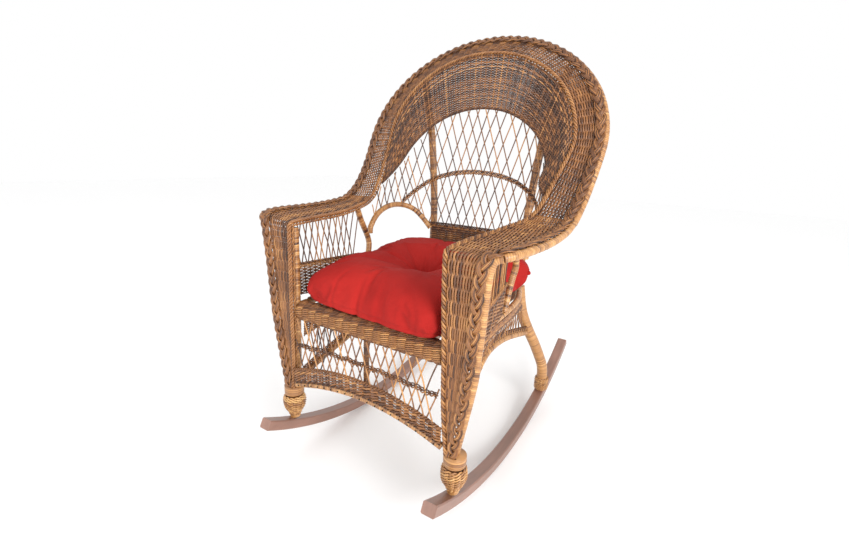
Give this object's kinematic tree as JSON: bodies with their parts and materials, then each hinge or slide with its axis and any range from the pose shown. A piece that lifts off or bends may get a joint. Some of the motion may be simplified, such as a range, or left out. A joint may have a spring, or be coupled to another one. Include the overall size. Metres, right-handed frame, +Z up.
{
  "type": "rocking chair",
  "caption": "Woven wicker rocking chair with flared rolled arms, a hooded arched back, a lattice apron and a loose tufted seat cushion.",
  "frame": {"origin": "on the floor, under the middle of the rockers' length, on the chair's centre plane", "axes": "+Z up; the sitter faces -Y; +X to the sitter's left"},
  "size_m": [0.693, 0.92, 1.0751],
  "materials": {
    "rocker_wood": "smooth brown paint, satin",
    "wrapped_pole": "satin varnish",
    "reed_weave": "satin varnish",
    "reed_lattice": "satin varnish",
    "seat_board": "raw",
    "cushion_fabric": "matt cotton",
    "steel": "dark, dull"
  },
  "bodies": {
    "root": {"rocker_left": "rocker_wood", "rocker_right": "rocker_wood", "rocker_screws": "steel", "rail_nails": "steel", "cushion": "cushion_fabric", "cushion_button": "cushion_fabric", "front_leg_pole_left": "wrapped_pole", "front_leg_pole_right": "wrapped_pole", "front_inner_post_left": "wrapped_pole", "front_inner_post_right": "wrapped_pole", "rear_leg_left": "wrapped_pole", "rear_leg_right": "wrapped_pole", "arm_strut_left": "wrapped_pole", "arm_strut_right": "wrapped_pole", "corner_arch_left": "wrapped_pole", "corner_arch_right": "wrapped_pole", "back_post_left": "wrapped_pole", "back_post_right": "wrapped_pole", "arm_pole_left": "wrapped_pole", "arm_pole_right": "wrapped_pole", "arm_rim_left": "wrapped_pole", "arm_rim_right": "wrapped_pole", "side_lower_rail_left": "wrapped_pole", "side_lower_rail_right": "wrapped_pole", "seat_side_rail_left": "wrapped_pole", "seat_side_rail_right": "wrapped_pole", "back_hoop": "wrapped_pole", "back_rim": "wrapped_pole", "apron_rail": "wrapped_pole", "apron_brace": "wrapped_pole", "seat_front_rail": "wrapped_pole", "seat_rear_rail": "wrapped_pole", "front_foot_bands": "wrapped_pole", "front_foot_left": "reed_weave", "front_foot_right": "reed_weave", "rear_foot_collars": "reed_weave", "leg_panel_left": "reed_weave", "leg_panel_right": "reed_weave", "arm_panel_left": "reed_weave", "arm_panel_right": "reed_weave", "edge_braid_left": "reed_weave", "edge_braid_right": "reed_weave", "side_panel_left": "reed_weave", "side_panel_right": "reed_weave", "side_skirt_left": "reed_weave", "side_skirt_right": "reed_weave", "back_surround": "reed_weave", "back_braid": "reed_weave", "hood": "reed_weave", "lower_back_panel": "reed_weave", "middle_band": "reed_weave", "seat_front_roll": "reed_weave", "apron_band": "reed_weave", "arm_lattice_left": "reed_lattice", "arm_lattice_right": "reed_lattice", "back_lattice": "reed_lattice", "apron_lattice": "reed_lattice", "apron_twine": "reed_lattice", "seat_deck": "seat_board"}
  },
  "joints": []
}
